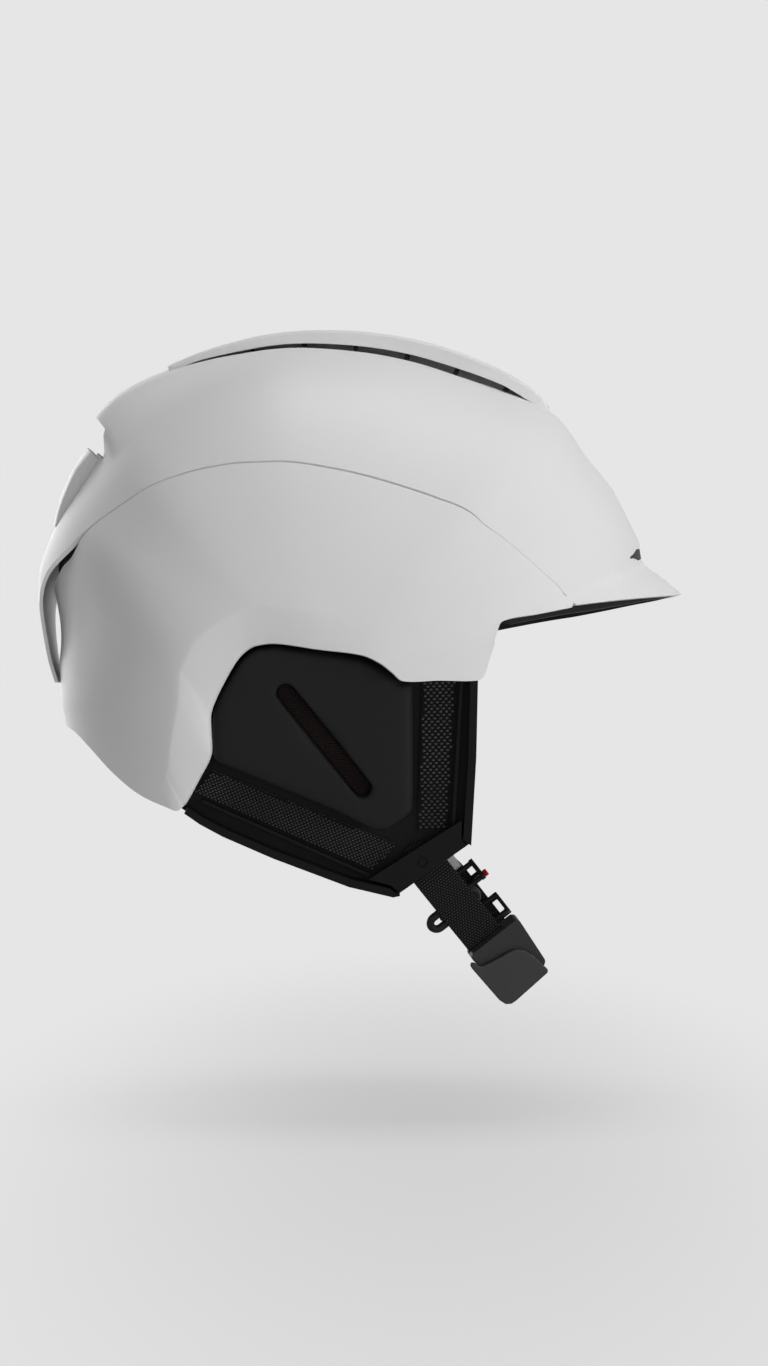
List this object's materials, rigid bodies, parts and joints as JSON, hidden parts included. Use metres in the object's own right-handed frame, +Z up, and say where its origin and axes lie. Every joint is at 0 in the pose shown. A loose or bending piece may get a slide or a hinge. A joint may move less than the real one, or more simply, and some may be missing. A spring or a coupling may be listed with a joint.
{
  "type": "ski helmet",
  "caption": "Hard-shell ski helmet with a short brim, vented crown, fixed padded ear covers, a rear fit dial and a chin strap with sliders and a side-release buckle.",
  "frame": {"origin": "seat of the head inside the helmet, on the middle plane above the ear pads", "axes": "+X towards the brim, +Y to the wearer's left, +Z up through the crown"},
  "size_m": [0.2817, 0.2118, 0.2911],
  "materials": {
    "shell_white": "satin",
    "dark_plastic": "matte",
    "liner_foam": "matte",
    "lining_fabric": "brushed knit",
    "knit_mesh": "open knit",
    "pad_foam": "matte foam",
    "ear_panel": "smooth matte",
    "frame_rubber": "satin",
    "webbing": "waffle weave",
    "steel": "brushed",
    "pale_lining": "plain",
    "red_tab": "satin"
  },
  "bodies": {
    "helmet": {"upper_shell": "shell_white", "lower_shell": "shell_white", "spine_cover": "shell_white", "vent_grille": "dark_plastic", "tail_panel": "shell_white", "visor_lining": "dark_plastic", "front_vent_insert": "dark_plastic", "foam_liner": "liner_foam", "brow_pad": "lining_fabric", "crown_pads": "lining_fabric", "ear_panel_right": "ear_panel", "ear_panel_left": "ear_panel", "ear_mesh_right": "knit_mesh", "ear_mesh_left": "knit_mesh", "ear_foam_right": "pad_foam", "ear_foam_left": "pad_foam", "ear_frame_right": "frame_rubber", "ear_frame_left": "frame_rubber", "ear_ring_right": "lining_fabric", "ear_ring_left": "lining_fabric", "front_webbing_right": "webbing", "front_webbing_left": "webbing", "rear_webbing_right": "webbing", "rear_webbing_left": "webbing", "corner_bridge_right": "frame_rubber", "corner_bridge_left": "frame_rubber", "strap_rivets": "steel", "band_guide_right": "dark_plastic", "band_guide_left": "dark_plastic", "fit_housing": "dark_plastic", "housing_cover": "dark_plastic", "nape_pad": "lining_fabric"},
    "strap_loop": {"strap_stub_right": "webbing", "chin_strap_left": "webbing", "strap_lining_left": "pale_lining", "strap_keeper": "dark_plastic", "buckle_receiver": "dark_plastic", "receiver_magnet": "steel"},
    "buckle_side": {"chin_strap_right": "webbing", "buckle_tongue": "dark_plastic", "tongue_magnet": "steel"},
    "right_slider": {"strap_slider_right": "dark_plastic"},
    "left_slider": {"strap_slider_left": "dark_plastic", "slider_tab": "red_tab"},
    "release_plate": {"buckle_cover": "dark_plastic"},
    "dial": {"fit_knob": "dark_plastic", "fit_pinion": "dark_plastic"},
    "right_rack": {"fit_rack_right": "dark_plastic"},
    "left_rack": {"fit_rack_left": "dark_plastic"}
  },
  "joints": [
    {"name": "strap_swing", "type": "hinge", "parent": "helmet", "child": "strap_loop", "pos_m": [0.03508, 0, -0.11129], "axis": [0, 1, 0], "range_deg": [-16, 12]},
    {"name": "buckle_open", "type": "hinge", "parent": "strap_loop", "child": "buckle_side", "pos_m": [0.04066, -0.0748, -0.11835], "axis": [-0.7848, 0, -0.6198], "range_deg": [0, 75]},
    {"name": "right_slider_move", "type": "slide", "parent": "buckle_side", "child": "right_slider", "axis": [0.5617, 0.4226, -0.7112], "range_m": [-0.005, 0.008]},
    {"name": "left_slider_move", "type": "slide", "parent": "strap_loop", "child": "left_slider", "axis": [0.5617, -0.4226, -0.7112], "range_m": [0, 0.006]},
    {"name": "release_slide", "type": "slide", "parent": "buckle_side", "child": "release_plate", "axis": [0.5617, 0.4226, -0.7112], "range_m": [0, 0.004]},
    {"name": "dial_turn", "type": "hinge", "parent": "helmet", "child": "dial", "pos_m": [-0.1, 0, -0.054], "axis": [-1, 0, 0], "range_deg": [0, 180]},
    {"name": "right_rack_move", "type": "hinge", "parent": "helmet", "child": "right_rack", "pos_m": [-0.014, 0, -0.054], "axis": [0, 0, 1], "range_deg": [-14, 0]},
    {"name": "left_rack_move", "type": "hinge", "parent": "helmet", "child": "left_rack", "pos_m": [-0.014, 0, -0.054], "axis": [0, 0, 1], "range_deg": [0, 14]}
  ],
  "couplings": [
    {"joint": "right_rack_move", "follows": "dial_turn", "ratio": -0.077076},
    {"joint": "left_rack_move", "follows": "dial_turn", "ratio": 0.077076}
  ]
}
